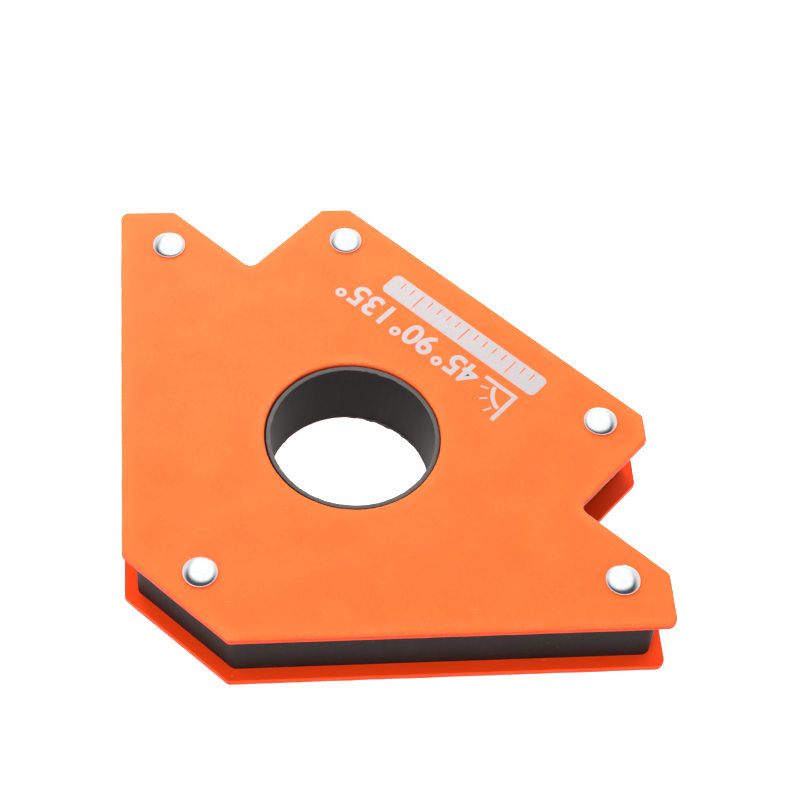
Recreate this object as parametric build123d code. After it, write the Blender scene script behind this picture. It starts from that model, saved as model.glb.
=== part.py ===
from build123d import *

import os
from math import atan2, degrees, sqrt

# Welding magnet holder: two arrow-shaped steel plates riveted over a moulded core that holds three ferrite
# blocks. It lies flat on its rivet tails. +Z runs through its thickness, +Y along its line of symmetry from
# the flat at its square corner to its long edge, and +X along the long edge. The origin is the middle of the
# bounding box's underside.
#
# The outline is laid out in leg coordinates (a, b): a runs along the right leg and b along the left leg, from
# the corner where the two legs would meet.

# Outline of the plates, in leg coordinates, in millimetres
LEG = 85.0  # each leg, from the square corner to the end of its tip
CORNER_CUT = 15.9  # what the flat at the square corner takes off each leg
TIP_WIDTH = 9.3  # flat end of each tip
NOTCH_DEPTH = 12.7  # of each 90 degree notch, square to the flat end of the tip
SHOULDER_WIDTH = 4.9  # flat between a notch and the long edge
TIP_RADIUS = 1.5
CORNER_RADIUS = 1.0
NOTCH_ROOT_RADIUS = 1.5

# Plates
PLATE_THICKNESS = 1.5
OUTER_EDGE_ROUND = 0.45  # edges of a plate's outer face, where the punch went in
INNER_EDGE_ROUND = 0.15  # edges of a plate's inner face

# Bore and the collar that lines it
BORE_RADIUS = 13.35
BORE_FROM_LEGS = 37.1  # bore axis from each leg
COLLAR_WALL = 0.75
COLLAR_CLEARANCE = 0.15  # between the collar and the hole in a plate
COLLAR_RECESS = 0.5  # from a plate's outer face down to the collar's end
COLLAR_EDGE_ROUND = 0.15

# Core between the plates
CORE_THICKNESS = 11.5
CORE_INSET = 2.2  # from the plates' edges in to the core
CORE_NOTCH_SETBACK = 1.2  # how much further the core stands back along the notches
CORE_CORNER_RADIUS = 1.5
CORE_WALL = 1.8  # outer wall
CORE_RIB = 1.8  # ribs, and the frames round the ferrite blocks
CAVITY_RADIUS = 0.8
HUB_STEP = 1.8  # width of the step round the collar that each plate sits on
BOSS_WALL = 2.4  # round each rivet

# Ferrite blocks
BLOCK_CLEARANCE = 0.2
BLOCK_CHAMFER = 0.6

# Rivets
RIVET_RADIUS = 1.5
RIVET_PLATE_CLEARANCE = 0.08
RIVET_CORE_CLEARANCE = 0.15
HEAD_RADIUS = 2.8
HEAD_RIM = 0.3  # straight side of the head, under its dome
HEAD_RIM_ROUND = 0.35
DOME_HEIGHT = 0.9
TAIL_RADIUS = 2.45
TAIL_HEIGHT = 0.9
TAIL_ROUND = 0.4
SOCKET_RADIUS = 1.05
SOCKET_DEPTH = 3.0
TIP_RIVET_FROM_LEG = 8.2
TIP_RIVET_FROM_END = 7.7
SHOULDER_RIVET_FROM_NOTCH = 3.7  # along the leg, from where the notch ends
SHOULDER_RIVET_FROM_END = 7.3
CORNER_RIVET_FROM_FLAT = 5.75

# Heights above the surface that the rivet tails stand on
REAR_FACE = TAIL_HEIGHT
CORE_BOTTOM = REAR_FACE + PLATE_THICKNESS
CORE_TOP = CORE_BOTTOM + CORE_THICKNESS
FRONT_FACE = CORE_TOP + PLATE_THICKNESS
HEAD_TOP = FRONT_FACE + HEAD_RIM + DOME_HEIGHT

# Places along a leg
NOTCH_ROOT = TIP_WIDTH + NOTCH_DEPTH
SHOULDER_START = NOTCH_ROOT + NOTCH_DEPTH
SHOULDER_END = SHOULDER_START + SHOULDER_WIDTH

# Along the line of symmetry, from the square corner
CORNER_FLAT = CORNER_CUT / sqrt(2)
LONG_EDGE = (LEG + SHOULDER_END) / sqrt(2)
MIDDLE = (CORNER_FLAT + LONG_EDGE) / 2

PLATE_HOLE_RADIUS = BORE_RADIUS + COLLAR_WALL + COLLAR_CLEARANCE
HUB_RADIUS = PLATE_HOLE_RADIUS + HUB_STEP
BOSS_HOLE_RADIUS = RIVET_RADIUS + RIVET_CORE_CLEARANCE
BOSS_RADIUS = BOSS_HOLE_RADIUS + BOSS_WALL


def place(a, b):
    """The point at (a, b) in leg coordinates."""
    return Vector((a - b) / sqrt(2), (a + b) / sqrt(2) - MIDDLE)


def both_sides(right):
    """The points of the right side, given from the square corner on, then their mirror images on the left."""
    return right + [(b, a) for a, b in reversed(right)]


BORE = place(BORE_FROM_LEGS, BORE_FROM_LEGS)

RIVETS = {
    "corner": Vector(0, CORNER_FLAT + CORNER_RIVET_FROM_FLAT - MIDDLE),
    "left_tip": place(TIP_RIVET_FROM_LEG, LEG - TIP_RIVET_FROM_END),
    "right_tip": place(LEG - TIP_RIVET_FROM_END, TIP_RIVET_FROM_LEG),
    "left_shoulder": place(SHOULDER_START + SHOULDER_RIVET_FROM_NOTCH, LEG - SHOULDER_RIVET_FROM_END),
    "right_shoulder": place(LEG - SHOULDER_RIVET_FROM_END, SHOULDER_START + SHOULDER_RIVET_FROM_NOTCH),
}


def disc(centre, radius):
    return Pos(centre.X, centre.Y) * Circle(radius)


def strip(start, end, width):
    """A rectangle that runs from start to end."""
    middle, run = (start + end) * 0.5, end - start
    return Pos(middle.X, middle.Y) * Rot(0, 0, degrees(atan2(run.Y, run.X))) * Rectangle(run.length, width)


def rounded(face, radius, points=()):
    """The face with its corners rounded: the ones nearest the points, or all of them."""
    corners = face.vertices()
    if points:
        corners = [min(corners, key=lambda corner: (Vector(corner) - point).length) for point in points]
    return fillet(corners, radius)


def raised(face, bottom, height):
    return Pos(0, 0, bottom) * extrude(face, height)


def arrow(inset=0.0, notch_setback=0.0):
    """The plates' sharp outline, moved inwards by inset, and at the notches by notch_setback more."""
    right = [
        (CORNER_CUT, 0),
        (LEG, 0),
        (LEG, TIP_WIDTH),
        (LEG - NOTCH_DEPTH, NOTCH_ROOT),
        (LEG, SHOULDER_START),
        (LEG, SHOULDER_END),
    ]
    face = make_face(Polyline([place(a, b) for a, b in both_sides(right)], close=True))
    if inset:
        face = offset(face, -inset, kind=Kind.INTERSECTION)
    if notch_setback:
        depth = NOTCH_DEPTH + sqrt(2) * (inset + notch_setback)
        notch = [(LEG - depth, NOTCH_ROOT), (LEG, NOTCH_ROOT - depth), (LEG, NOTCH_ROOT + depth)]
        for corners in (notch, [(b, a) for a, b in notch]):
            face -= make_face(Polyline([place(a, b) for a, b in corners], close=True))
    return face


def plate(bottom, outer_side):
    """A punched plate with its underside at bottom. Its outer face looks along outer_side, +1 or -1 in Z."""
    tips = [(LEG, 0)]
    roots = [(LEG - NOTCH_DEPTH, NOTCH_ROOT)]
    others = [(CORNER_CUT, 0), (LEG, TIP_WIDTH), (LEG, SHOULDER_START), (LEG, SHOULDER_END)]
    blank = arrow()
    for corners, radius in ((tips, TIP_RADIUS), (roots, NOTCH_ROOT_RADIUS), (others, CORNER_RADIUS)):
        blank = rounded(blank, radius, [place(a, b) for a, b in both_sides(corners)])
    solid = extrude(blank - disc(BORE, PLATE_HOLE_RADIUS), PLATE_THICKNESS)
    for side, radius in ((outer_side, OUTER_EDGE_ROUND), (-outer_side, INNER_EDGE_ROUND)):
        face = solid.faces().filter_by(Axis.Z).sort_by(Axis.Z)[-1 if side > 0 else 0]
        solid = fillet(face.edges(), radius)
    for centre in RIVETS.values():
        solid -= extrude(disc(centre, RIVET_RADIUS + RIVET_PLATE_CLEARANCE), PLATE_THICKNESS)
    return Pos(0, 0, bottom) * solid


def block_rooms():
    """Each ferrite block's two ends and its width. A block fills the space between the walls beside it."""
    outer = CORE_INSET + CORE_WALL + BLOCK_CLEARANCE
    inner = BORE_FROM_LEGS - HUB_RADIUS - BLOCK_CLEARANCE
    near = inner + CORE_RIB + 2 * BLOCK_CLEARANCE
    far = LEG + TIP_WIDTH - sqrt(2) * (outer + CORE_NOTCH_SETBACK) - inner
    across = (outer + inner) / 2

    bottom = BORE.Y + HUB_RADIUS + BLOCK_CLEARANCE
    top = LONG_EDGE - MIDDLE - outer
    reach = RIVETS["right_shoulder"].X - BOSS_HOLE_RADIUS - CORE_RIB - BLOCK_CLEARANCE
    return {
        "left_leg": (place(across, near), place(across, far), inner - outer),
        "right_leg": (place(near, across), place(far, across), inner - outer),
        "long_edge": (Vector(-reach, (bottom + top) / 2), Vector(reach, (bottom + top) / 2), top - bottom),
    }


def room_face(start, end, width, margin):
    """The outline of a ferrite block's room, larger by margin all round."""
    step = (end - start).normalized() * margin
    return strip(start - step, end + step, width + 2 * margin)


def core_spacer():
    """The moulded core: outer wall, hub and collar, a boss round each rivet, and a frame round each block."""
    outline = rounded(arrow(CORE_INSET, CORE_NOTCH_SETBACK), CORE_CORNER_RADIUS)
    web = outline - rounded(arrow(CORE_INSET + CORE_WALL, CORE_NOTCH_SETBACK), CAVITY_RADIUS)
    web += disc(BORE, HUB_RADIUS)
    for centre in RIVETS.values():
        outwards = (centre - BORE).normalized() * LEG
        web += disc(centre, BOSS_RADIUS)
        web += strip(BORE, centre, CORE_RIB)
        web += strip(centre, centre + outwards, 2 * BOSS_RADIUS)  # joins the boss to the wall beyond it
    for room in block_rooms().values():
        web += room_face(*room, margin=BLOCK_CLEARANCE + CORE_RIB)
    web &= outline
    for room in block_rooms().values():
        web -= room_face(*room, margin=BLOCK_CLEARANCE)

    collar_bottom = REAR_FACE + COLLAR_RECESS
    collar_length = FRONT_FACE - REAR_FACE - 2 * COLLAR_RECESS
    collar = raised(disc(BORE, BORE_RADIUS + COLLAR_WALL), collar_bottom, collar_length)
    body = raised(web, CORE_BOTTOM, CORE_THICKNESS) + collar
    body -= raised(disc(BORE, BORE_RADIUS), collar_bottom, collar_length)
    ends = body.faces().filter_by(Axis.Z).sort_by(Axis.Z)
    body = fillet([edge for end in (ends[0], ends[-1]) for edge in end.edges()], COLLAR_EDGE_ROUND)
    for centre in RIVETS.values():
        body -= raised(disc(centre, BOSS_HOLE_RADIUS), CORE_BOTTOM, CORE_THICKNESS)
    return body


def ferrite_block(start, end, width):
    """A ferrite block, magnetised through its thickness, between the two plates."""
    block = raised(strip(start, end, width), CORE_BOTTOM, CORE_THICKNESS)
    return chamfer(block.edges().filter_by(Axis.Z), BLOCK_CHAMFER)


def rivet(centre):
    """A domed semi-tubular rivet: its head on the front plate, its tail rolled over on the rear plate."""
    socket_edge = Vector(SOCKET_RADIUS, 0, 0)
    tail_edge = Vector(TAIL_RADIUS, 0, 0)
    rim_edge = Vector(HEAD_RADIUS, 0, HEAD_TOP - DOME_HEIGHT)
    top = Vector(0, 0, HEAD_TOP)
    dome_radius = (HEAD_RADIUS**2 + DOME_HEIGHT**2) / (2 * DOME_HEIGHT)
    side = Polyline(
        top,
        (0, 0, SOCKET_DEPTH),
        (SOCKET_RADIUS, 0, SOCKET_DEPTH),
        socket_edge,
        tail_edge,
        (TAIL_RADIUS, 0, TAIL_HEIGHT),
        (RIVET_RADIUS, 0, TAIL_HEIGHT),
        (RIVET_RADIUS, 0, FRONT_FACE),
        (HEAD_RADIUS, 0, FRONT_FACE),
        rim_edge,
    )
    bulge = Vector(0, 0, HEAD_TOP - dome_radius)
    crown = bulge + ((rim_edge + top) * 0.5 - bulge).normalized() * dome_radius
    profile = make_face([side, ThreePointArc(rim_edge, crown, top)])
    profile = rounded(profile, TAIL_ROUND, [socket_edge, tail_edge])
    profile = rounded(profile, HEAD_RIM_ROUND, [rim_edge])
    return Pos(centre.X, centre.Y) * revolve(profile, Axis.Z)


def holder():
    """Every piece of the holder, by name."""
    pieces = {
        "front_plate": plate(CORE_TOP, outer_side=1),
        "rear_plate": plate(REAR_FACE, outer_side=-1),
        "core_spacer": core_spacer(),
    }
    for name, room in block_rooms().items():
        pieces[f"ferrite_block_{name}"] = ferrite_block(*room)
    for name, centre in RIVETS.items():
        pieces[f"rivet_{name}"] = rivet(centre)
    return pieces


os.makedirs("parts", exist_ok=True)
for name, piece in holder().items():
    export_step(piece, f"parts/{name}.step")
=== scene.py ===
"""Looks of a welding magnet holder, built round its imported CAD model.

Two powder-coated arrow plates, a moulded core with a collar through the plates, five domed
rivets, the ferrite blocks inside and the print on the front plate. Every length in the classes
of the pieces and finishes is in millimetres, and the studio's are in metres.
"""

import logging
import math
from dataclasses import dataclass, field
from enum import Enum

import bmesh
import bpy
import numpy as np
from mathutils import Matrix, Vector, noise
from mathutils.geometry import delaunay_2d_cdt
from mathutils.kdtree import KDTree


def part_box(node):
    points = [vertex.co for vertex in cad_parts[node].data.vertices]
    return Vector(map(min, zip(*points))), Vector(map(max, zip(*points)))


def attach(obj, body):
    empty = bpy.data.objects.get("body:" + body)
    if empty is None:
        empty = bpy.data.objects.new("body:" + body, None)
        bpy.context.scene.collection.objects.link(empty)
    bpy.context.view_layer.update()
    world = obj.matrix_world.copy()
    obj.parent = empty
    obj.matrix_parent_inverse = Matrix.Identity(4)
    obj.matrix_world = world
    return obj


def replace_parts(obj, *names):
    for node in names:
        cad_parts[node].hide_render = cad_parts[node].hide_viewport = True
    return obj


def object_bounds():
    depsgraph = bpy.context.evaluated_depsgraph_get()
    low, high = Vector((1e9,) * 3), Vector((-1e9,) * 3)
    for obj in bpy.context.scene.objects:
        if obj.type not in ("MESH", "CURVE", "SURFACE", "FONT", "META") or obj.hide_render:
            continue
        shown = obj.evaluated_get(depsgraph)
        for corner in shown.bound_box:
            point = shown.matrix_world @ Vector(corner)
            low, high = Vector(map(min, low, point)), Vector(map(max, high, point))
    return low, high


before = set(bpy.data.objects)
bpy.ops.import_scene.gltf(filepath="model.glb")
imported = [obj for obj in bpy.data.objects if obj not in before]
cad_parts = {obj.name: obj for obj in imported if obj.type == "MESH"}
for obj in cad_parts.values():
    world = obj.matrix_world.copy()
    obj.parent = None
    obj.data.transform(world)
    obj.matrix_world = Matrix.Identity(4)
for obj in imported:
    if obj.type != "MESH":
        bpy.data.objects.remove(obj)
cad_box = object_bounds()

MM = 0.001
BODY = "root"
SHARP = math.radians(50)  # an edge that turns more than this is drawn sharp
SHARE, FIRST, SECOND = 0, 6, 7  # a colour Mix node's inputs, whose names are shared with its other types
MIXED = 2  # and its output
Value = float | tuple | bpy.types.NodeSocket
log = logging.getLogger("magnet_holder")


class PlateFace(Enum):
    """Which way a plate's outer face looks."""

    FRONT = 1
    REAR = -1


class Numeral(Enum):
    """The angles that the holder sets, as printed."""

    HALF_SQUARE = "45°"
    SQUARE = "90°"
    OPEN = "135°"


# ------------------------------------------------------------------------------
# Small tools
# ------------------------------------------------------------------------------


def linear(colour: str) -> tuple[float, float, float, float]:
    """Turns an sRGB hex colour to linear light.

    Args:
        colour: six hex digits after a hash.

    Returns:
        Red, green and blue in linear light, and an alpha of 1.
    """
    values = [int(colour[i : i + 2], 16) / 255 for i in (1, 3, 5)]
    red, green, blue = (v / 12.92 if v <= 0.04045 else ((v + 0.055) / 1.055) ** 2.4 for v in values)
    return red, green, blue, 1.0


def add(
    tree: bpy.types.NodeTree, kind: str, inputs: dict[str | int, Value], **settings: object
) -> bpy.types.Node:
    """Adds one shader node with its settings and links.

    Args:
        tree: the material's or world's node tree.
        kind: the node's Blender type, without "ShaderNode".
        inputs: for each input, by name or number, a value or the output that feeds it.
        settings: the node's own properties.

    Returns:
        The new node.
    """
    node = tree.nodes.new("ShaderNode" + kind)
    for name, setting in settings.items():
        setattr(node, name, setting)
    for name, value in inputs.items():
        if isinstance(value, bpy.types.NodeSocket):
            tree.links.new(value, node.inputs[name])
        else:
            node.inputs[name].default_value = value
    return node


def new_material(name: str) -> tuple[bpy.types.Material, bpy.types.NodeTree]:
    """Makes an empty node material.

    Args:
        name: the material's name.

    Returns:
        The material and its node tree.
    """
    material = bpy.data.materials.new(name)
    material.use_nodes = True
    material.node_tree.nodes.clear()
    return material, material.node_tree


def tinted(
    tree: bpy.types.NodeTree,
    tone: Value,
    value: bpy.types.NodeSocket,
    span: tuple[float, float],
    colour: Value,
    strength: float = 1.0,
) -> bpy.types.NodeSocket:
    """Turns one colour to another as a value crosses a span.

    Args:
        tree: the material's node tree.
        tone: the first colour.
        value: what the turn follows.
        span: the value where it starts, and the value where it ends.
        colour: the second colour.
        strength: the share of the second colour at the end.

    Returns:
        The output with the colour.
    """
    start, end = span
    reach = {"Value": value, "From Min": start, "From Max": end, "To Max": strength}
    mixed = {SHARE: add(tree, "MapRange", reach).outputs[0], FIRST: tone, SECOND: colour}
    return add(tree, "Mix", mixed, data_type="RGBA").outputs[MIXED]


def per_mm(millimetres: float) -> float:
    """The scale of a pattern whose features are that many millimetres across."""
    return 1 / (millimetres * MM)


def smooth_step(value: np.ndarray | float) -> np.ndarray | float:
    """Eases a value from 0 to 1, clamped at both ends."""
    held = np.clip(value, 0.0, 1.0)
    return held * held * (3 - 2 * held)


def lumps(points: np.ndarray, size: float, seed: float) -> np.ndarray:
    """Smooth random lumps at each point.

    Args:
        points: points in metres, one a row.
        size: how far apart the lumps are, in millimetres.
        seed: moves the pattern, so that two pieces differ.

    Returns:
        A height from -1 to 1 for each point.
    """
    shift = Vector((seed, 1.7 * seed, -seed))
    return np.array([noise.noise(Vector(point) * per_mm(size) + shift) for point in points])


def piece_from(bm: bmesh.types.BMesh, name: str, material: bpy.types.Material) -> bpy.types.Object:
    """Turns a finished bmesh into a named piece that rides on the body.

    Args:
        bm: the mesh, which is freed.
        name: the piece's name.
        material: its finish.

    Returns:
        The piece.
    """
    bmesh.ops.recalc_face_normals(bm, faces=bm.faces)
    mesh = bpy.data.meshes.new(name)
    bm.to_mesh(mesh)
    bm.free()
    mesh.materials.append(material)
    mesh.shade_smooth()
    mesh.set_sharp_from_angle(angle=SHARP)
    piece = bpy.data.objects.new(name, mesh)
    bpy.context.scene.collection.objects.link(piece)
    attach(piece, BODY)
    log.info("%s: %d faces", name, len(mesh.polygons))
    return piece


def dress(node: str, material: bpy.types.Material) -> None:
    """Gives a CAD node that stays in view its finish.

    Args:
        node: the CAD node's name.
        material: its finish.
    """
    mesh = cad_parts[node].data
    mesh.materials.clear()
    mesh.materials.append(material)
    log.info("%s: dressed in %s", node, material.name)


# ------------------------------------------------------------------------------
# Outlines
# ------------------------------------------------------------------------------


def signed_area(loop: np.ndarray) -> float:
    """The area inside a closed outline, below zero if it runs clockwise."""
    after = np.roll(loop, -1, axis=0)
    return float((loop[:, 0] * after[:, 1] - after[:, 0] * loop[:, 1]).sum() / 2)


def section_loops(node: str, height: float) -> list[np.ndarray]:
    """Cuts a CAD node level with the floor and walks the outlines of the cut.

    Args:
        node: the CAD node's name.
        height: where to cut, in metres.

    Returns:
        The (x, y) points of each closed outline, the largest first. It runs anticlockwise, and the
        holes clockwise.
    """
    cut = bmesh.new()
    cut.from_mesh(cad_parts[node].data)
    bmesh.ops.remove_doubles(cut, verts=cut.verts, dist=1e-7)
    whole = cut.verts[:] + cut.edges[:] + cut.faces[:]
    plane = {"plane_co": (0, 0, height), "plane_no": (0, 0, 1)}
    bmesh.ops.bisect_plane(cut, geom=whole, clear_inner=True, clear_outer=True, **plane)
    loops, left = [], set(cut.verts)
    while left:
        vertex, loop = next(iter(left)), []
        while vertex is not None:
            left.discard(vertex)
            loop.append(vertex.co.xy[:])
            beside = [edge.other_vert(vertex) for edge in vertex.link_edges]
            vertex = next((other for other in beside if other in left), None)
        loops.append(np.array(loop))
    cut.free()
    loops.sort(key=lambda loop: -abs(signed_area(loop)))
    turned = [signed_area(loop) > 0 for loop in loops]
    return [loop if turns == (i == 0) else loop[::-1] for i, (loop, turns) in enumerate(zip(loops, turned))]


def refined(loop: np.ndarray, step: float) -> np.ndarray:
    """Adds points to a closed outline where its straight runs are longer than a step.

    Args:
        loop: the outline's points, in metres.
        step: the longest run to leave, in millimetres.

    Returns:
        The outline with the points added.
    """
    points = []
    for start, end in zip(loop, np.roll(loop, -1, axis=0)):
        parts = max(1, math.ceil(np.linalg.norm(end - start) / (step * MM)))
        points += [start + (end - start) * i / parts for i in range(parts)]
    return np.array(points)


def outwards(loop: np.ndarray) -> np.ndarray:
    """Finds the direction that leaves the material at each point of an outline.

    Args:
        loop: the outline's points, anticlockwise, or clockwise for a hole.

    Returns:
        A unit vector for each point, along the bisector of its corner.
    """
    run = np.roll(loop, -1, axis=0) - loop
    run = run / np.linalg.norm(run, axis=1)[:, None]
    mean = run + np.roll(run, 1, axis=0)
    mean = mean / np.linalg.norm(mean, axis=1)[:, None]
    return np.stack([mean[:, 1], -mean[:, 0]], axis=1)


def wall_profile(
    low: float, high: float, low_round: float, high_round: float, steps: int
) -> list[tuple[float, float]]:
    """The side of a plate from its lower face to its upper face, with rounded edges.

    Args:
        low: height of the lower face.
        high: height of the upper face.
        low_round: radius of the lower edge.
        high_round: radius of the upper edge.
        steps: how many steps each round takes.

    Returns:
        For each point, how far it stands in from the outline, and its height.
    """
    quarter = [math.pi / 2 * i / steps for i in range(steps + 1)]
    lower = [(low_round * (1 - math.cos(a)), low + low_round * (1 - math.sin(a))) for a in reversed(quarter)]
    upper = [(high_round * (1 - math.cos(a)), high - high_round * (1 - math.sin(a))) for a in quarter]
    return lower + upper


def ribbon(bm: bmesh.types.BMesh, rings: list[list[Vector]]) -> None:
    """Joins closed rings of equal length with a band of quads.

    Args:
        bm: the mesh to add to.
        rings: the points of each ring, in order.
    """
    rows = [[bm.verts.new(point) for point in ring] for ring in rings]
    for row, above in zip(rows, rows[1:]):
        for i, vertex in enumerate(row):
            j = (i + 1) % len(row)
            bm.faces.new((vertex, row[j], above[j], above[i]))


def within(spots: np.ndarray, outline: np.ndarray) -> np.ndarray:
    """Tells which spots lie inside a closed outline.

    Args:
        spots: points, one a row.
        outline: the outline's points, in order.

    Returns:
        True or False for each spot.
    """
    found = np.zeros(len(spots), bool)
    for start, end in zip(outline, np.roll(outline, -1, axis=0)):
        if start[1] == end[1]:
            continue
        crosses = (start[1] > spots[:, 1]) != (end[1] > spots[:, 1])
        at = start[0] + (spots[:, 1] - start[1]) / (end[1] - start[1]) * (end[0] - start[0])
        found ^= crosses & (spots[:, 0] < at)
    return found


def flat_fill(bm: bmesh.types.BMesh, loops: list[np.ndarray], grid: np.ndarray, height: float) -> None:
    """Fills the area between an outline and its holes with triangles.

    Args:
        bm: the mesh to add to.
        loops: the outline and its holes, in metres.
        grid: more points for the triangles to meet at.
        height: of the face, in metres.
    """
    points = [Vector(point) for loop in loops for point in loop]
    edges, start = [], 0
    for loop in loops:
        count = len(loop)
        edges += [(start + i, start + (i + 1) % count) for i in range(count)]
        start += count
    points += [Vector(point) for point in grid]
    inside_constraints = 1
    found, _, triangles, *_ = delaunay_2d_cdt(points, edges, [], inside_constraints, 1e-9)
    middles = np.array([sum((found[i] for i in triangle), Vector((0, 0))) / 3 for triangle in triangles])
    solid = within(middles, loops[0])
    for hole in loops[1:]:
        solid &= ~within(middles, hole)
    vertices = [bm.verts.new((point.x, point.y, height)) for point in found]
    for triangle, filled in zip(triangles, solid):
        if filled:
            bm.faces.new([vertices[i] for i in triangle])


# ------------------------------------------------------------------------------
# Finishes
# ------------------------------------------------------------------------------


@dataclass(frozen=True)
class PowderCoat:
    """Orange polyester powder, sprayed on steel and baked.

    Satin, with a fine orange peel and a thick soft edge.
    """

    name: str = "powder_coat_orange_baked"
    body: str = "#F56830"  # full thickness of coat
    thin: str = "#F05E29"  # a little deeper where the coat is thin, in patches
    painted_shade: str = "#F44312"  # painted shade: redder on the sides and inner faces, where the plates shade each other
    edge: str = "#C9380C"  # painted shade: deeper on the side wall of the cut edge
    thick_and_highlight: str = "#F6723E"  # paler where the coat builds up along an edge, and partly a painted highlight of the edge catching the light
    speck: str = "#B5451A"  # stray grains
    bead_glint: str = "#FFB27C"  # painted glints: pale dots for glossy beads of powder catching the light
    roughness: float = 0.45
    gloss: float = 0.08  # the matting agent in the powder takes off most of the shine
    peel: float = 1.1  # width of the orange peel
    grain: float = 0.45  # powder grains are 0.05 mm, drawn coarser so that they show
    patch: float = 7.0
    cell: float = 2.4  # about one speck or painted glint to a cell
    dot: tuple[float, float] = (0.09, 0.03)  # where a dot starts and where it is full, as shares of a cell
    dot_strength: float = 0.28
    speck_share: float = 0.6  # of the dots that are specks, the others being painted glints
    thin_span: tuple[float, float] = (0.75, 1.3)  # of patch and grain together, from full to thin
    lump_span: tuple[float, float] = (0.9, 1.25)  # and from flat to built up, with its painted highlight, along an edge
    edge_shade_span: tuple[float, float] = (0.0, 0.35)  # of painted shade, over which the coat turns to the edge's painted shade
    painted_shade_span: tuple[float, float] = (0.65, 1.0)  # and to the painted shade of the sides and inner faces
    roughness_swing: float = 0.05
    peel_height: float = 0.012
    grain_height: float = 0.006
    ior: float = 1.5

    def make(self) -> bpy.types.Material:
        """Builds the material, which reads from the mesh where the coat is built up, with its painted edge
        highlight, and where shade is painted.

        Returns:
            The material.
        """
        material, tree = new_material(self.name)
        place = add(tree, "TexCoord", {}).outputs["Object"]
        peel = add(tree, "TexNoise", {"Vector": place, "Scale": per_mm(self.peel), "Detail": 1.0})
        grain = add(tree, "TexNoise", {"Vector": place, "Scale": per_mm(self.grain), "Detail": 2.0})
        patch = add(tree, "TexNoise", {"Vector": place, "Scale": per_mm(self.patch), "Detail": 3.0})
        # built-up coat along the edges, which also carries the painted edge highlight
        built_and_highlight = add(tree, "Attribute", {}, attribute_name=CoatedPlate.BUILD_UP_AND_HIGHLIGHT)
        # painted shade: the share of the edge and inner-face shade colours at each point
        side = add(tree, "Attribute", {}, attribute_name=CoatedPlate.PAINTED_SHADE)

        patchy = add(tree, "Math", {0: patch.outputs["Fac"], 1: grain.outputs["Fac"]}, operation="ADD")
        tone = tinted(tree, linear(self.body), patchy.outputs[0], self.thin_span, linear(self.thin))
        start, end = self.lump_span
        lumpy = add(tree, "MapRange", {"Value": patchy.outputs[0], "From Min": start, "From Max": end})
        thick_and_highlight = add(tree, "Math", {0: built_and_highlight.outputs["Fac"], 1: lumpy.outputs[0]}, operation="MULTIPLY")
        mixed = {SHARE: thick_and_highlight.outputs[0], FIRST: tone, SECOND: linear(self.thick_and_highlight)}
        tone = add(tree, "Mix", mixed, data_type="RGBA").outputs[MIXED]
        # painted shade: deeper on the cut edge, then redder on the sides and inner faces
        for span, colour in ((self.edge_shade_span, self.edge), (self.painted_shade_span, self.painted_shade)):
            tone = tinted(tree, tone, side.outputs["Fac"], span, linear(colour))
        tone = self.dotted(tree, place, tone)

        waves = {"Height": peel.outputs["Fac"], "Distance": self.peel_height * MM, "Strength": 1.0}
        bump = add(tree, "Bump", waves)
        grit = {"Height": grain.outputs["Fac"], "Distance": self.grain_height * MM, "Normal": bump.outputs[0]}
        bump = add(tree, "Bump", grit)
        low, high = self.roughness - self.roughness_swing, self.roughness + self.roughness_swing
        rough = add(tree, "MapRange", {"Value": patch.outputs["Fac"], "To Min": low, "To Max": high})
        surface = {"Base Color": tone, "Roughness": rough.outputs[0], "Normal": bump.outputs[0]}
        coat = add(tree, "BsdfPrincipled", surface | {"IOR": self.ior, "Specular IOR Level": self.gloss})
        add(tree, "OutputMaterial", {"Surface": coat.outputs[0]})
        return material

    def dotted(
        self, tree: bpy.types.NodeTree, place: bpy.types.NodeSocket, tone: bpy.types.NodeSocket
    ) -> bpy.types.NodeSocket:
        """Scatters specks, and painted glints for beads, over the coat, one or none to a cell.

        Args:
            tree: the material's node tree.
            place: the output that gives each point's place.
            tone: the output with the coat's colour.

        Returns:
            The output with the colour of coat and dots.
        """
        cells = add(tree, "TexVoronoi", {"Vector": place, "Scale": per_mm(self.cell)})
        pick = add(tree, "SeparateColor", {"Color": cells.outputs["Color"]})
        dark = add(tree, "Math", {0: pick.outputs[0], 1: self.speck_share}, operation="LESS_THAN")
        # painted glints: pale dots for beads, among darker specks of stray grains
        kind = {SHARE: dark.outputs[0], FIRST: linear(self.bead_glint), SECOND: linear(self.speck)}
        speck_or_glint = add(tree, "Mix", kind, data_type="RGBA").outputs[MIXED]
        return tinted(tree, tone, cells.outputs["Distance"], self.dot, speck_or_glint, self.dot_strength)


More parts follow.
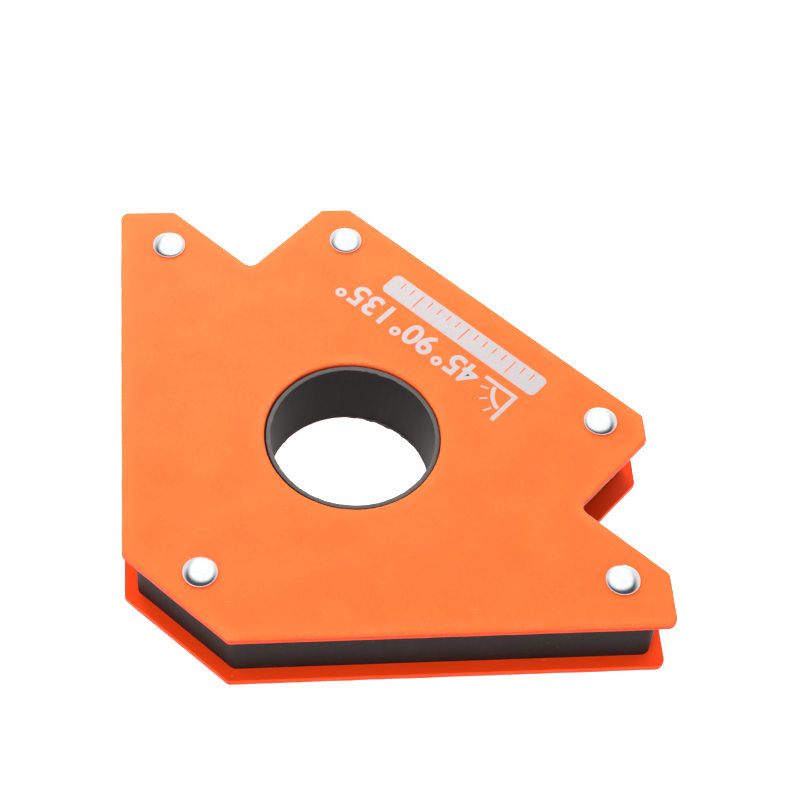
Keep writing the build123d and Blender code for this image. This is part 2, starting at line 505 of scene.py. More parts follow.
@dataclass(frozen=True)
class MouldedPlastic:
    """Brown-black ABS, injection moulded: satin, with faint marks along the way it left the mould."""

    name: str = "abs_brown_black_moulded"
    body: str = "#1E1A19"
    worn: str = "#2C2826"  # paler scuffs
    roughness: float = 0.48
    gloss: float = 0.06
    mark: float = 0.8  # spacing of the draw marks
    mark_length: float = 14.0
    cloud: float = 6.0
    grain: float = 0.3  # the mould's fine texture, drawn coarser so that it shows
    scuff_span: tuple[float, float] = (0.24, 0.5)  # of marks times cloud, from clean to scuffed
    scuff_strength: float = 0.6
    roughness_span: tuple[float, float] = (-0.06, 0.1)  # added to the roughness along the marks
    mark_height: float = 0.006
    grain_height: float = 0.004
    dust: str = "#8C8880"
    dust_cell: float = 1.9  # about one speck of dust to a cell
    dust_size: float = 0.1  # radius of the largest speck
    dust_core: float = 0.3  # share of that radius where the speck is at its full strength
    dust_strength: float = 0.45
    ior: float = 1.53

    def make(self) -> bpy.types.Material:
        """Builds the material.

        Returns:
            The material.
        """
        material, tree = new_material(self.name)
        place = add(tree, "TexCoord", {}).outputs["Object"]
        drawn = {"Vector": place, "Scale": (1.0, 1.0, self.mark / self.mark_length)}
        along = add(tree, "Mapping", drawn)
        marks = add(tree, "TexNoise", {"Vector": along.outputs[0], "Scale": per_mm(self.mark), "Detail": 4.0})
        cloud = add(tree, "TexNoise", {"Vector": place, "Scale": per_mm(self.cloud), "Detail": 3.0})
        grain = add(tree, "TexNoise", {"Vector": place, "Scale": per_mm(self.grain), "Detail": 2.0})
        both = add(tree, "Math", {0: marks.outputs["Fac"], 1: cloud.outputs["Fac"]}, operation="MULTIPLY")
        scuff, worn = both.outputs[0], linear(self.worn)
        tone = tinted(tree, linear(self.body), scuff, self.scuff_span, worn, self.scuff_strength)
        cells = add(tree, "TexVoronoi", {"Vector": place, "Scale": per_mm(self.dust_cell)})
        size = self.dust_size / self.dust_cell
        spot, dust = (size, self.dust_core * size), linear(self.dust)
        tone = tinted(tree, tone, cells.outputs["Distance"], spot, dust, self.dust_strength)
        bump = add(tree, "Bump", {"Height": marks.outputs["Fac"], "Distance": self.mark_height * MM})
        fine = {"Height": grain.outputs["Fac"], "Distance": self.grain_height * MM, "Normal": bump.outputs[0]}
        bump = add(tree, "Bump", fine)
        low, high = (self.roughness + change for change in self.roughness_span)
        rough = add(tree, "MapRange", {"Value": marks.outputs["Fac"], "To Min": low, "To Max": high})
        surface = {"Base Color": tone, "Roughness": rough.outputs[0], "Normal": bump.outputs[0]}
        plastic = add(tree, "BsdfPrincipled", surface | {"IOR": self.ior, "Specular IOR Level": self.gloss})
        add(tree, "OutputMaterial", {"Surface": plastic.outputs[0]})
        return material


@dataclass(frozen=True)
class PlatedSteel:
    """Steel, zinc plated and barrel polished: bright, with faint tumbling marks and a clouded plating."""

    name: str = "steel_zinc_plated_polished"
    body: str = "#E4E6E7"
    cloudy: str = "#DDE0E1"
    roughness: float = 0.12
    cloud: float = 0.9
    pit: float = 0.25  # tumbling marks are finer, drawn coarser so that they show
    cloud_span: tuple[float, float] = (0.4, 0.7)  # of the cloud, from bright to cloudy
    roughness_span: tuple[float, float] = (-0.05, 0.08)  # added to the roughness by the cloud
    cloud_height: float = 0.0008
    pit_height: float = 0.0003

    def make(self) -> bpy.types.Material:
        """Builds the material.

        Returns:
            The material.
        """
        material, tree = new_material(self.name)
        place = add(tree, "TexCoord", {}).outputs["Object"]
        cloud = add(tree, "TexNoise", {"Vector": place, "Scale": per_mm(self.cloud), "Detail": 3.0})
        pits = add(tree, "TexNoise", {"Vector": place, "Scale": per_mm(self.pit), "Detail": 3.0})
        tone = tinted(tree, linear(self.body), cloud.outputs["Fac"], self.cloud_span, linear(self.cloudy))
        bump = add(tree, "Bump", {"Height": cloud.outputs["Fac"], "Distance": self.cloud_height * MM})
        pitted = {"Height": pits.outputs["Fac"], "Distance": self.pit_height * MM, "Normal": bump.outputs[0]}
        bump = add(tree, "Bump", pitted)
        low, high = (self.roughness + change for change in self.roughness_span)
        rough = add(tree, "MapRange", {"Value": cloud.outputs["Fac"], "To Min": low, "To Max": high})
        surface = {"Base Color": tone, "Roughness": rough.outputs[0], "Normal": bump.outputs[0]}
        metal = add(tree, "BsdfPrincipled", surface | {"Metallic": 1.0})
        add(tree, "OutputMaterial", {"Surface": metal.outputs[0]})
        return material


@dataclass(frozen=True)
class ScreenPrint:
    """Pale grey epoxy ink, screen printed over the coat: matt, and a little uneven from the screen."""

    name: str = "ink_pale_grey_screen_printed"
    body: str = "#A8A1A2"
    lean: str = "#A49C9B"  # where less ink went through
    roughness: float = 0.6
    mesh: float = 0.5  # screen threads are 0.15 mm apart, drawn coarser so that they show
    lean_span: tuple[float, float] = (0.4, 0.75)  # of the threads' pattern, from full to lean
    mesh_height: float = 0.0012
    ior: float = 1.5

    def make(self) -> bpy.types.Material:
        """Builds the material.

        Returns:
            The material.
        """
        material, tree = new_material(self.name)
        place = add(tree, "TexCoord", {}).outputs["Object"]
        threads = add(tree, "TexNoise", {"Vector": place, "Scale": per_mm(self.mesh), "Detail": 2.0})
        tone = tinted(tree, linear(self.body), threads.outputs["Fac"], self.lean_span, linear(self.lean))
        bump = add(tree, "Bump", {"Height": threads.outputs["Fac"], "Distance": self.mesh_height * MM})
        surface = {"Base Color": tone, "Roughness": self.roughness, "Normal": bump.outputs[0]}
        ink = add(tree, "BsdfPrincipled", surface | {"IOR": self.ior})
        add(tree, "OutputMaterial", {"Surface": ink.outputs[0]})
        return material


@dataclass(frozen=True)
class SinteredFerrite:
    """Strontium ferrite, pressed and sintered: charcoal and gritty, ground flat where it meets the plates."""

    name: str = "ferrite_charcoal_sintered"
    body: str = "#2B2C2E"
    glint: str = "#4A4B4E"
    roughness: float = 0.55
    grit: float = 0.4  # pressed grains are finer, drawn coarser so that they show
    glint_span: tuple[float, float] = (0.55, 0.75)  # of the grit, from dull to glinting
    grit_height: float = 0.02

    def make(self) -> bpy.types.Material:
        """Builds the material.

        Returns:
            The material.
        """
        material, tree = new_material(self.name)
        place = add(tree, "TexCoord", {}).outputs["Object"]
        grit = add(tree, "TexNoise", {"Vector": place, "Scale": per_mm(self.grit), "Detail": 4.0})
        tone = tinted(tree, linear(self.body), grit.outputs["Fac"], self.glint_span, linear(self.glint))
        bump = add(tree, "Bump", {"Height": grit.outputs["Fac"], "Distance": self.grit_height * MM})
        surface = {"Base Color": tone, "Roughness": self.roughness, "Normal": bump.outputs[0]}
        ceramic = add(tree, "BsdfPrincipled", surface)
        add(tree, "OutputMaterial", {"Surface": ceramic.outputs[0]})
        return material


@dataclass(frozen=True)
class LightTable:
    """White opal acrylic lit from below: it stays white and takes only a faint shadow."""

    name: str = "acrylic_white_opal"
    body: str = "#F4F4F4"
    roughness: float = 0.7
    glow: float = 1.0
    gloss: float = 0.2

    def make(self) -> bpy.types.Material:
        """Builds the material.

        Returns:
            The material.
        """
        material, tree = new_material(self.name)
        white = linear(self.body)
        surface = {"Base Color": white, "Roughness": self.roughness, "Specular IOR Level": self.gloss}
        lit = {"Emission Color": white, "Emission Strength": self.glow}
        sheet = add(tree, "BsdfPrincipled", surface | lit)
        add(tree, "OutputMaterial", {"Surface": sheet.outputs[0]})
        return material


# ------------------------------------------------------------------------------
# Pieces
# ------------------------------------------------------------------------------


@dataclass
class CoatedPlate:
    """A punched steel plate with its baked coat: rounded edges, and a low lumpy ridge inside them."""

    # share of built-up coat, which also sets the painted edge highlight
    BUILD_UP_AND_HIGHLIGHT = "coat_build_up_and_highlight"
    # share of painted shade, from none on the outer face to full on the inner face
    PAINTED_SHADE = "coat_painted_shade"

    node: str
    face: PlateFace
    finish: bpy.types.Material
    outer_round: float = 0.45
    inner_round: float = 0.15
    round_steps: int = 6
    step: float = 0.3  # between points along an outline
    fine_grid: float = 0.45  # spacing of the points near an edge
    fine_gap: float = 0.25  # from where the flat starts to the first of them
    coarse_grid: float = 3.0
    ridge_height: float = 0.02
    ridge_from_edge: float = 0.9
    ridge_width: float = 3.0
    ridge_lump: float = 2.4
    ridge_share: tuple[float, float] = (0.6, 0.7)  # of its height: always there, and added by the lumps
    edge_sink: float = 0.07  # the deepest hollow in an edge, from the outline inwards
    edge_lump: float = 3.1
    # Heights over the plate's middle, in half thicknesses: where the painted shade of the sides and inner
    # face starts, and where it is full
    painted_shade_start: float = 0.9
    painted_shade_full: float = -0.8
    seed: float = 3.0
    edge_seed: float = 9.0  # added for the hollows, so that they don't follow the ridge

    def build(self) -> bpy.types.Object:
        """Builds the plate in the CAD node's place.

        Returns:
            The piece.
        """
        low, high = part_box(self.node)
        loops = [refined(loop, self.step) for loop in section_loops(self.node, (low.z + high.z) / 2)]
        edges, rivet_holes = loops[:2], loops[2:]
        front = self.face is PlateFace.FRONT
        rounds = (self.inner_round, self.outer_round) if front else (self.outer_round, self.inner_round)
        profile = wall_profile(low.z, high.z, rounds[0] * MM, rounds[1] * MM, self.round_steps)
        bm = bmesh.new()
        for loop in edges:
            normals = outwards(loop)
            ribbon(bm, [[(*point, height) for point in loop - normals * inset] for inset, height in profile])
        for loop in rivet_holes:
            ribbon(bm, [[(*point, height) for point in loop] for height in (low.z, high.z)])
        for (inset, height), depth in ((profile[0], rounds[0]), (profile[-1], rounds[1])):
            rims = [loop - outwards(loop) * inset for loop in edges] + rivet_holes
            flat_fill(bm, rims, self.grid(edges, rivet_holes, depth), height)
        bmesh.ops.remove_doubles(bm, verts=bm.verts, dist=1e-7)
        self.coat(bm, edges, (low.z + high.z) / 2, (high.z - low.z) / 2)
        piece = piece_from(bm, f"{self.node}_coated", self.finish)
        self.mark_coat(piece, edges, (low.z + high.z) / 2, (high.z - low.z) / 2)
        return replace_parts(piece, self.node)

    def grid(self, edges: list[np.ndarray], holes: list[np.ndarray], depth: float) -> np.ndarray:
        """Spreads points over a face, close together near an edge.

        Args:
            edges: the outline and the bore.
            holes: the rivet holes.
            depth: how far in the flat of the face starts, in millimetres.

        Returns:
            Points inside the face, in metres.
        """
        outline, bore = edges
        away, _ = self.nearest(edges)
        from_hole, _ = self.nearest(holes)
        low, high = outline.min(axis=0), outline.max(axis=0)
        centre = bore.mean(axis=0)
        radius = np.linalg.norm(bore - centre, axis=1).mean()
        fine = (self.fine_grid, depth + self.fine_gap, self.ridge_width)
        coarse = (self.coarse_grid, self.ridge_width, math.inf)
        points = []
        for pitch, nearest, farthest in (fine, coarse):
            xs, ys = (np.arange(low[i] + pitch * MM / 2, high[i], pitch * MM) for i in (0, 1))
            spots = np.array([(x, y) for x in xs for y in ys])
            spots = spots[within(spots, outline)]
            gap = away(spots)
            keep = (gap > nearest * MM) & (gap <= farthest * MM) & (from_hole(spots) > pitch * MM / 2)
            keep &= np.linalg.norm(spots - centre, axis=1) > radius
            for hole in holes:
                middle = hole.mean(axis=0)
                keep &= np.linalg.norm(spots - middle, axis=1) > np.linalg.norm(hole[0] - middle)
            points.append(spots[keep])
        return np.concatenate(points)

    @staticmethod
    def nearest(loops: list[np.ndarray]) -> tuple:
        """Finds the nearest outline point.

        Args:
            loops: the outlines.

        Returns:
            A function from points to their distances, and one to the numbers of the nearest outline points.
        """
        points = np.concatenate(loops)
        tree = KDTree(len(points))
        for i, point in enumerate(points):
            tree.insert((*point, 0), i)
        tree.balance()
        return (
            lambda spots: np.array([tree.find((*spot, 0))[2] for spot in spots]),
            lambda spots: np.array([tree.find((*spot, 0))[1] for spot in spots]),
        )

    def coat(self, bm: bmesh.types.BMesh, edges: list[np.ndarray], middle: float, half: float) -> None:
        """Raises the ridge of coat along the edges and sinks small hollows into them.

        Args:
            bm: the plate.
            edges: the outline and the bore.
            middle: height of the plate's middle, in metres.
            half: half its thickness, in metres.
        """
        bm.verts.ensure_lookup_table()
        points = np.array([vertex.co[:] for vertex in bm.verts])
        distance, number = self.nearest(edges)
        gap = distance(points[:, :2]) / MM
        normals = np.concatenate([outwards(loop) for loop in edges])[number(points[:, :2])]
        fall = 1 - smooth_step((gap - self.ridge_from_edge) / self.ridge_width)
        always, added = self.ridge_share
        uneven = always + added * lumps(points, self.ridge_lump, self.seed)
        rise = smooth_step(gap / self.ridge_from_edge) * fall * uneven * self.ridge_height * MM
        side = (points[:, 2] - middle) / half
        hollow = 0.5 + 0.5 * lumps(points, self.edge_lump, self.seed + self.edge_seed)
        sink = smooth_step(hollow) * (1 - smooth_step(gap / self.ridge_from_edge)) * self.edge_sink * MM
        for i, vertex in enumerate(bm.verts):
            vertex.co.z += rise[i] * side[i]
            vertex.co.xy -= Vector(normals[i] * sink[i])

    def mark_coat(
        self, piece: bpy.types.Object, edges: list[np.ndarray], middle: float, half: float
    ) -> None:
        """Writes how far the coat has built up at each point, which also sets its painted edge highlight, and
        how much shade is painted there.

        Args:
            piece: the plate.
            edges: the outline and the bore.
            middle: height of the plate's middle, in metres.
            half: half its thickness, in metres.
        """
        points = np.array([vertex.co[:] for vertex in piece.data.vertices])
        gap = self.nearest(edges)[0](points[:, :2]) / MM
        # built-up coat, and with it the painted edge highlight
        build_up_and_highlight = 1 - smooth_step(gap / self.ridge_width)
        side = (points[:, 2] - middle) / half * self.face.value
        # painted shade: none on the outer face, growing down the side to full on the inner face
        painted_shade_share = smooth_step((side - self.painted_shade_start) / (self.painted_shade_full - self.painted_shade_start))
        for name, values in ((self.BUILD_UP_AND_HIGHLIGHT, build_up_and_highlight), (self.PAINTED_SHADE, painted_shade_share)):
            marks = piece.data.attributes.new(name, "FLOAT", "POINT")
            marks.data.foreach_set("value", values.astype(np.float32))


@dataclass
class MouldedCore:
    """The core between the plates, and a trimmed lip at each end of its collar, with a thin flash."""

    finish: bpy.types.Material
    trimmed: bpy.types.Material
    node: str = "core_spacer"
    collar_wall: float = 0.75
    collar_round: float = 0.15
    lip_rise: float = 0.03  # of the trimmed face over the moulded one
    flash_reach: float = 0.13  # into the bore
    flash_depth: float = 0.25
    sliver: float = 0.02  # thickness of the flash at its tip, and how deep the lip's foot is in the wall
    points: int = 720
    torn_at: float = 106.0  # degrees round the bore, where the flash is longest
    torn_width: float = 22.0
    torn_reach: float = 0.45
    nick: float = 1.1
    seed: float = 5.0

    def build(self) -> None:
        """Dresses the core and adds a lip at each end of the collar."""
        dress(self.node, self.finish)
        for face in PlateFace:
            self.lip(face)

    def lip(self, face: PlateFace) -> bpy.types.Object:
        """Builds the trimmed end of the collar, with its flash longer where it tore.

        Args:
            face: the plate that it shows through.

        Returns:
            The piece.
        """
        low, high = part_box(self.node)
        end = high.z if face is PlateFace.FRONT else low.z
        inwards = -face.value * MM
        _, bore = section_loops(self.node, end + self.flash_depth * inwards)
        centre = bore.mean(axis=0)
        radius = np.linalg.norm(bore - centre, axis=1).mean()
        turns = np.arange(self.points) / self.points * 2 * math.pi
        spokes = np.stack([np.cos(turns), np.sin(turns), np.zeros(self.points)], axis=1)
        ragged = 0.5 + 0.5 * lumps(spokes * radius, self.nick, self.seed * face.value)
        off = (np.degrees(turns) - self.torn_at + 180) % 360 - 180
        torn = np.exp(-((off / self.torn_width) ** 2)) * self.torn_reach
        reach = (self.flash_reach * ragged**2 + torn * ragged) * MM
        lift = self.lip_rise * MM * (0.3 + 0.7 * ragged) * face.value
        outer = self.collar_wall * MM
        edge = self.collar_round * MM
        none = 0 * reach
        sliver = self.sliver * inwards
        # For each point of the section, how far it stands out from the bore's wall, and its height
        profile = (
            (outer + none, end + edge * -face.value + none),
            (outer - 0.3 * edge + none, end + 0.35 * inwards * self.collar_round + 0.3 * lift),
            (outer - edge + none, end + lift),
            (0.5 * outer + none, end + 0.8 * lift),
            (none, end + lift),
            (-0.8 * reach, end + 0.7 * lift),
            (-reach, end + sliver + none),
            (-0.5 * reach, end + 0.5 * self.flash_depth * inwards + none),
            (self.sliver * MM + none, end + self.flash_depth * inwards + none),
            (0.5 * outer + none, end + self.flash_depth * inwards + none),
        )
        rings = []
        for out, height in profile:
            ring = spokes * (radius + out)[:, None]
            ring[:, :2] += centre
            ring[:, 2] = height
            rings.append([Vector(point) for point in ring])
        bm = bmesh.new()
        ribbon(bm, rings + rings[:1])
        bmesh.ops.remove_doubles(bm, verts=bm.verts, dist=1e-8)
        return piece_from(bm, f"collar_lip_{face.name.lower()}", self.trimmed)


@dataclass
class DomedRivet:
    """A semi-tubular rivet: a low dome, pressed a little unevenly, a shank, and a rolled-over tail."""

    node: str
    finish: bpy.types.Material
    seed: float
    shank_radius: float = 1.5
    dome_height: float = 0.9
    head_rim: float = 0.3
    rim_round: float = 0.35
    rim_chamfer: float = 0.08  # under the head
    tail_radius: float = 2.45
    tail_height: float = 0.9
    tail_round: float = 0.4
    tail_chamfer: float = 0.15  # where the tail meets the plate
    socket_radius: float = 1.05
    socket_depth: float = 3.0
    socket_point: float = 0.3  # depth of the cone at its end
    segments: int = 96
    dome_steps: int = 16
    round_steps: int = 6
    dent: float = 1.7  # spacing of the soft dents left by the setting tool
    dent_depth: float = 0.014
    dent_reach: float = 0.2  # how far below the dome they go

    def profile(self, head_radius: float, top: float) -> list[tuple[float, float]]:
        """The rivet's half section, from the top of its dome to the bottom of its socket.

        Args:
            head_radius: in millimetres.
            top: height of the dome's top, in millimetres.

        Returns:
            The radius and height of each point.
        """
        dome_radius = (head_radius**2 + self.dome_height**2) / (2 * self.dome_height)
        rim_centre = head_radius - self.rim_round
        reach = dome_radius - self.rim_round
        rim_height = top - dome_radius + math.sqrt(reach**2 - rim_centre**2)
        meet = math.asin(rim_centre / reach)
        points = []
        for i in range(self.dome_steps + 1):
            turn = meet * i / self.dome_steps
            points.append((dome_radius * math.sin(turn), top - dome_radius + dome_radius * math.cos(turn)))
        for i in range(1, self.round_steps + 1):
            turn = meet + (math.pi / 2 - meet) * i / self.round_steps
            rim = (rim_centre + self.rim_round * math.sin(turn), rim_height + self.rim_round * math.cos(turn))
            points.append(rim)
        under = top - self.dome_height - self.head_rim
        points += [(head_radius, under + self.rim_chamfer), (head_radius - self.rim_chamfer, under)]
        points += [(self.shank_radius, under), (self.shank_radius, self.tail_height)]
        points.append((self.tail_radius - self.tail_chamfer, self.tail_height))
        outer = self.tail_radius - self.tail_round
        inner = self.socket_radius + self.tail_round
        for middle, start in ((outer, math.pi / 2), (inner, math.pi)):
            for i in range(self.round_steps + 1):
                turn = start + math.pi / 2 * i / self.round_steps
                height = self.tail_round + self.tail_round * math.cos(turn)
                points.append((middle + self.tail_round * math.sin(turn), height))
        end = self.socket_depth + self.socket_point
        return points + [(self.socket_radius, self.socket_depth), (0.0, end)]

    def build(self) -> bpy.types.Object:
        """Turns the section round the rivet's axis and presses the dents into its head.

        Returns:
            The piece.
        """
        low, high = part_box(self.node)
        axis = (low + high) / 2
        head_radius = (high.x - low.x) / 2 / MM
        section = self.profile(head_radius, high.z / MM)
        turns = [2 * math.pi * i / self.segments for i in range(self.segments)]
        rings = [[Vector((r * math.cos(a), r * math.sin(a), z)) * MM for a in turns] for r, z in section]
        bm = bmesh.new()
        ribbon(bm, rings)
        bmesh.ops.remove_doubles(bm, verts=bm.verts, dist=1e-8)
        points = np.array([vertex.co[:] for vertex in bm.verts])
        dents = (0.5 + 0.5 * lumps(points, self.dent, self.seed)) * self.dent_depth * MM
        head = points[:, 2] > high.z - (self.dome_height + self.dent_reach) * MM
        for vertex, dent, in_head in zip(bm.verts, dents, head):
            if in_head:
                vertex.co.z -= dent
            vertex.co.xy += axis.xy
        piece = piece_from(bm, f"{self.node}_plated", self.finish)
        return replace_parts(piece, self.node)


@dataclass
class FerriteBlocks:
    """The magnets inside the core."""

    finish: bpy.types.Material

    def build(self) -> None:
        """Dresses every ferrite block."""
        for node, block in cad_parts.items():
            if node.startswith("ferrite_block"):
                dress(node, self.finish)


@dataclass
class AngleScale:
    """The print on the front plate: a graduated bar along the long edge, and the angles that it sets."""

    finish: bpy.types.Material
    node: str = "front_plate"
    ink: float = 0.02  # thickness over the coat
    bar_length: float = 33.0
    bar_width: float = 4.5
    bar_from_edge: float = 5.33
    bar_corner: float = 1.0
    corner_points: int = 6
    tick_spacing: float = 2.0
    tick_width: float = 0.22
    tick_foot: float = 0.6  # from the bar's side to a tick
    tick_lengths: tuple[float, ...] = (3.2, 1.5, 1.5, 1.5, 1.5)
    ticks_each_side: int = 7
    line_start: float = 14.9  # where the square and the numerals start, from the line of symmetry
    line_gap: float = 1.6  # from the bar to their foot
    square_size: float = 6.6
    leg_width: float = 0.75
    arc_radii: tuple[float, float] = (3.9, 4.6)
    arc_ends: tuple[float, float] = (14.0, 76.0)
    ray_radii: tuple[float, float] = (5.1, 6.5)
    ray_width: float = 0.32
    rays: tuple[float, ...] = (22.5, 45.0, 67.5)
    arc_points: int = 24
    numeral_height: float = 4.4
    numeral_share: float = 0.73  # of the font's size that a figure's height takes
    numeral_gap: float = 0.85
    numeral_weight: float = 0.15  # added to each side of a stroke

    def build(self) -> None:
        """Prints the bar, the square and the numerals on the plate's face."""
        _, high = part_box(self.node)
        middle = high.y - (self.bar_from_edge + self.bar_width / 2) * MM
        self.bar(middle, high.z)
        foot = middle - (self.bar_width / 2 + self.line_gap) * MM
        start = Vector((self.line_start * MM, foot, high.z))
        self.square(start)
        start.x -= (self.square_size + self.numeral_gap) * MM
        for numeral in Numeral:
            start.x -= self.numeral(numeral, start) + self.numeral_gap * MM

    def prism(self, bm: bmesh.types.BMesh, loops: list[np.ndarray], face: float) -> None:
        """Lays down one closed patch of ink.

        Args:
            bm: the mesh to add to.
            loops: its outline and holes, in metres.
            face: height of the plate's face, in metres.
        """
        top, bottom = face + self.ink * MM, face - self.ink * MM
        for height in (top, bottom):
            flat_fill(bm, loops, np.zeros((0, 2)), height)
        for loop in loops:
            ribbon(bm, [[(*point, height) for point in loop] for height in (bottom, top)])

    def printed(self, bm: bmesh.types.BMesh, name: str) -> bpy.types.Object:
        """Closes the patches of ink and makes them a piece.

        Args:
            bm: the patches.
            name: the piece's name.

        Returns:
            The piece.
        """
        bmesh.ops.remove_doubles(bm, verts=bm.verts, dist=1e-7)
        piece = piece_from(bm, name, self.finish)
        piece.data.shade_flat()
        return piece

    def bar(self, middle: float, face: float) -> bpy.types.Object:
        """Builds the bar, with the coat showing through its graduations.

        Args:
            middle: the bar's middle, along the line of symmetry, in metres.
            face: height of the plate's face, in metres.

        Returns:
            The piece.
        """
        half_length = self.bar_length / 2 - self.bar_corner
        half_width = self.bar_width / 2 - self.bar_corner
        outline = []
        for quarter, (sx, sy) in enumerate(((1, 1), (-1, 1), (-1, -1), (1, -1))):
            for i in range(self.corner_points + 1):
                turn = math.pi / 2 * (quarter + i / self.corner_points)
                x = sx * half_length + self.bar_corner * math.cos(turn)
                outline.append((x, sy * half_width + self.bar_corner * math.sin(turn)))
        loops = [np.array(outline)]
        for i in range(-self.ticks_each_side, self.ticks_each_side + 1):
            length = self.tick_lengths[abs(i) % len(self.tick_lengths)]
            left, foot = i * self.tick_spacing - self.tick_width / 2, self.bar_width / 2 - self.tick_foot
            right, tip = left + self.tick_width, foot - length
            loops.append(np.array([(left, foot), (right, foot), (right, tip), (left, tip)]))
        bm = bmesh.new()
        self.prism(bm, [loop * MM + np.array([0, middle]) for loop in loops], face)
        return self.printed(bm, "scale_bar")

    def square(self, start: Vector) -> bpy.types.Object:
        """Draws a square corner with an arc and rays between its legs, turned as the numerals are.

        Args:
            start: its corner, in metres.

        Returns:
            The piece.
        """
        size, leg = self.square_size, self.leg_width
        patches = [[(0, 0), (size, 0), (size, leg), (leg, leg), (leg, size), (0, size)]]
        first, last = (math.radians(angle) for angle in self.arc_ends)
        turns = [first + (last - first) * i / self.arc_points for i in range(self.arc_points + 1)]
        inner, outer = self.arc_radii
        arc = [(inner * math.cos(t), inner * math.sin(t)) for t in reversed(turns)]
        patches.append([(outer * math.cos(t), outer * math.sin(t)) for t in turns] + arc)
        for ray in self.rays:
            along = np.array([math.cos(math.radians(ray)), math.sin(math.radians(ray))])
            across = np.array([-along[1], along[0]]) * self.ray_width / 2
            near, far = (along * radius for radius in self.ray_radii)
            patches.append([near - across, far - across, far + across, near + across])
        bm = bmesh.new()
        for patch in patches:
            self.prism(bm, [np.array(start.xy) - np.array(patch) * MM], start.z)
        return self.printed(bm, "angle_square_mark")

    def numeral(self, numeral: Numeral, start: Vector) -> float:
        """Prints one angle. It reads from the far side of the long edge.

        Args:
            numeral: which angle.
            start: where its first figure stands, in metres.

        Returns:
            Its length, in metres.
        """
        name = f"angle_{numeral.name.lower()}"
        text = bpy.data.curves.new(name, "FONT")
        text.body = numeral.value
        text.size = self.numeral_height * MM / self.numeral_share
        text.offset = self.numeral_weight * MM
        text.extrude = self.ink * MM
        written = bpy.data.objects.new(name + "_text", text)
        bpy.context.scene.collection.objects.link(written)
        bpy.context.view_layer.update()
        mesh = bpy.data.meshes.new_from_object(written)
        length = max(vertex.co.x for vertex in mesh.vertices)
        bpy.data.objects.remove(written)
        mesh.transform(Matrix.Translation(start) @ Matrix.Rotation(math.pi, 4, "Z"))
        bm = bmesh.new()
        bm.from_mesh(mesh)
        bpy.data.meshes.remove(mesh)
        self.printed(bm, name)
        return length


# ------------------------------------------------------------------------------
# Studio
# ------------------------------------------------------------------------------


@dataclass(frozen=True)
class SoftBox:
    """A soft light that looks at the holder, brightest in its middle. In metres and degrees."""

    name: str
    azimuth: float  # 0 looks along +Y, so the light stands on the -Y side
    elevation: float
    distance: float
    size: float
    radiance: float
    feather: float = 0.25  # where it starts to fade, from its middle, as a share of its size
    mirrored: bool = True  # whether the rivets and the coat reflect it
    colour: str = "#FFFFFF"

    def place(self, target: Vector) -> bpy.types.Object:
        """Stands the light where it belongs.

        Args:
            target: the point that it looks at.

        Returns:
            The light.
        """
        a, e = math.radians(self.azimuth), math.radians(self.elevation)
        back = Vector((math.sin(a) * math.cos(e), -math.cos(a) * math.cos(e), math.sin(e)))
        lamp = bpy.data.lights.new(self.name, "AREA")
        lamp.shape = "SQUARE"
        lamp.size = self.size
        lamp.energy = self.radiance * math.pi * self.size**2
        lamp.use_nodes = True
        tree = lamp.node_tree
        tree.nodes.clear()
        place = add(tree, "NewGeometry", {}).outputs["Parametric"]
        out = add(tree, "VectorMath", {0: place, 1: (0.5, 0.5, 0.0)}, operation="DISTANCE").outputs["Value"]
        fade = {"Value": out, "From Min": self.feather, "From Max": 0.5, "To Min": 1.0, "To Max": 0.0}
        glow = add(tree, "MapRange", fade, interpolation_type="SMOOTHSTEP")
        cloth = add(tree, "Emission", {"Color": linear(self.colour), "Strength": glow.outputs[0]})
        add(tree, "OutputLight", {"Surface": cloth.outputs[0]})
        light = bpy.data.objects.new(self.name, lamp)
        light.location = target + back * self.distance
        light.rotation_euler = (-back).to_track_quat("-Z", "Y").to_euler()
        light.visible_glossy = self.mirrored
        bpy.context.scene.collection.objects.link(light)
        return light


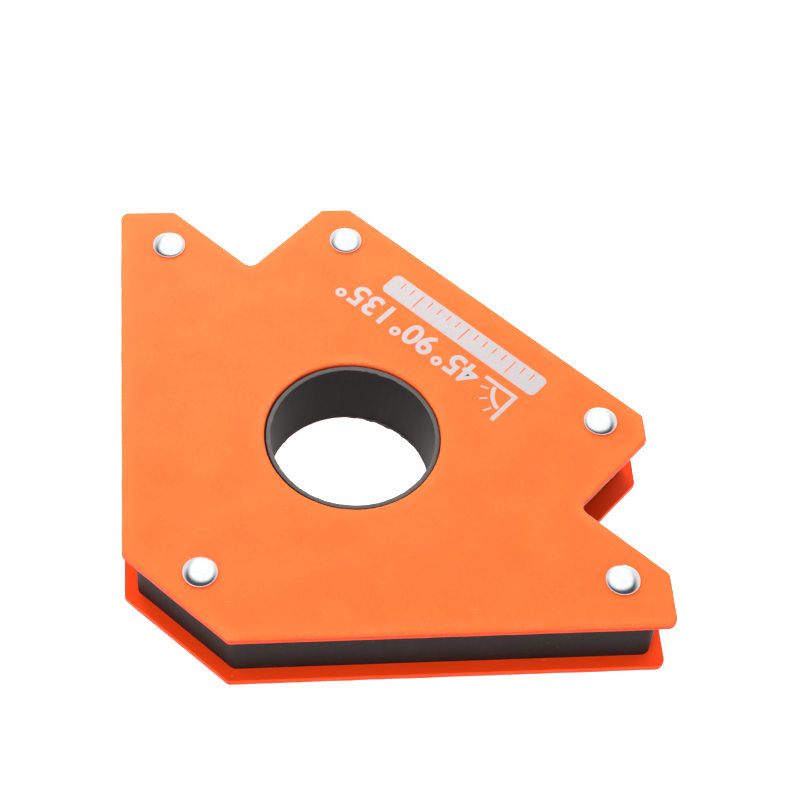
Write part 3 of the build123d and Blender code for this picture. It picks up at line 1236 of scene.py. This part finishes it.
@dataclass
class Studio:
    """A white light table, the soft boxes, a pale room and the camera."""

    table: bpy.types.Material
    table_size: float = 6.0
    camera_azimuth: float = 35.41
    camera_elevation: float = 53.827
    camera_roll: float = -6.452
    camera_distance: float = 0.3721
    lens: float = 97.6
    sensor: float = 36.0
    target: tuple[float, float, float] = (-0.00506, 0.02186, 0.0009)
    low_sky: str = "#FFFFFF"
    high_sky: str = "#4A5156"
    low_strength: float = 0.95
    high_strength: float = 1.0
    sky_turn: tuple[float, float] = (0.42, 0.68)  # where the low sky ends and the high one starts, as a sine
    clip: tuple[float, float] = (0.01, 20.0)
    boxes: list[SoftBox] = field(
        default_factory=lambda: [
            SoftBox("overhead_soft_box", 215.0, 70.0, 0.50, 1.15, 1.2, feather=0.3),
            SoftBox("side_soft_box", 238.0, 38.0, 0.28, 0.25, 9.8, feather=0.2, mirrored=False),
            SoftBox("back_soft_box", 215.0, 30.0, 0.90, 1.20, 0.3),
            SoftBox("front_soft_box", 2.0, 42.0, 0.90, 0.90, 4.4, mirrored=False),
        ]
    )

    def build(self) -> None:
        """Builds the floor, the sky, the lights and the camera."""
        self.floor()
        self.sky()
        centre = (cad_box[0] + cad_box[1]) / 2
        for box in self.boxes:
            box.place(centre)
            log.info("%s: lit", box.name)
        self.camera()
        bpy.context.scene.view_settings.view_transform = "Standard"

    def floor(self) -> bpy.types.Object:
        """Lays the light table under the rivet tails.

        Returns:
            The floor.
        """
        half, low = self.table_size / 2, cad_box[0].z
        mesh = bpy.data.meshes.new("light_table")
        corners = [(-half, -half, low), (half, -half, low), (half, half, low), (-half, half, low)]
        mesh.from_pydata(corners, [], [(0, 1, 2, 3)])
        mesh.materials.append(self.table)
        table = bpy.data.objects.new("light_table", mesh)
        bpy.context.scene.collection.objects.link(table)
        return table

    def sky(self) -> None:
        """Paints the room: pale walls, and a darker ceiling for the rivets to reflect."""
        world = bpy.data.worlds.new("studio_room")
        world.use_nodes = True
        tree = world.node_tree
        tree.nodes.clear()
        direction = add(tree, "TexCoord", {}).outputs["Generated"]
        height = add(tree, "SeparateXYZ", {"Vector": direction}).outputs["Z"]
        start, end = self.sky_turn
        up = add(tree, "MapRange", {"Value": height, "From Min": start, "From Max": end})
        low, high = (linear(colour) for colour in (self.low_sky, self.high_sky))
        mixed = {SHARE: up.outputs[0], FIRST: low, SECOND: high}
        tone = add(tree, "Mix", mixed, data_type="RGBA")
        power = {"Value": up.outputs[0], "To Min": self.low_strength, "To Max": self.high_strength}
        strength = add(tree, "MapRange", power)
        light = add(tree, "Background", {"Color": tone.outputs[MIXED], "Strength": strength.outputs[0]})
        add(tree, "OutputWorld", {"Surface": light.outputs[0]})
        bpy.context.scene.world = world

    def camera(self) -> bpy.types.Object:
        """Sets up the camera.

        Returns:
            The camera.
        """
        a, e, roll = (math.radians(x) for x in (self.camera_azimuth, self.camera_elevation, self.camera_roll))
        forward = Vector((-math.sin(a) * math.cos(e), math.cos(a) * math.cos(e), -math.sin(e)))
        level = Vector((math.cos(a), math.sin(a), 0))
        down = forward.cross(level)
        right = level * math.cos(roll) + down * math.sin(roll)
        down = down * math.cos(roll) - level * math.sin(roll)
        data = bpy.data.cameras.new("camera")
        data.lens, data.sensor_width = self.lens, self.sensor
        data.clip_start, data.clip_end = self.clip
        camera = bpy.data.objects.new("camera", data)
        axes = Matrix((right, -down, -forward)).transposed().to_4x4()
        camera.matrix_world = Matrix.Translation(Vector(self.target) - forward * self.camera_distance) @ axes
        bpy.context.scene.collection.objects.link(camera)
        bpy.context.scene.camera = camera
        return camera


def main() -> None:
    """Builds the holder and its studio."""
    logging.basicConfig(level=logging.INFO, format="%(name)s: %(message)s")
    orange, plastic, bright = PowderCoat().make(), MouldedPlastic().make(), PlatedSteel().make()
    CoatedPlate("front_plate", PlateFace.FRONT, orange).build()
    CoatedPlate("rear_plate", PlateFace.REAR, orange, seed=21.0).build()
    trimmed = MouldedPlastic(
        name="abs_brown_black_trimmed", body="#474442", worn="#605C5A", roughness=0.5, gloss=0.4
    )
    MouldedCore(plastic, trimmed.make()).build()
    FerriteBlocks(SinteredFerrite().make()).build()
    rivets = sorted(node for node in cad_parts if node.startswith("rivet"))
    for i, node in enumerate(rivets):
        DomedRivet(node, bright, seed=2.5 * i).build()
    AngleScale(ScreenPrint().make()).build()
    Studio(LightTable().make()).build()


if __name__ == "__main__":
    main()
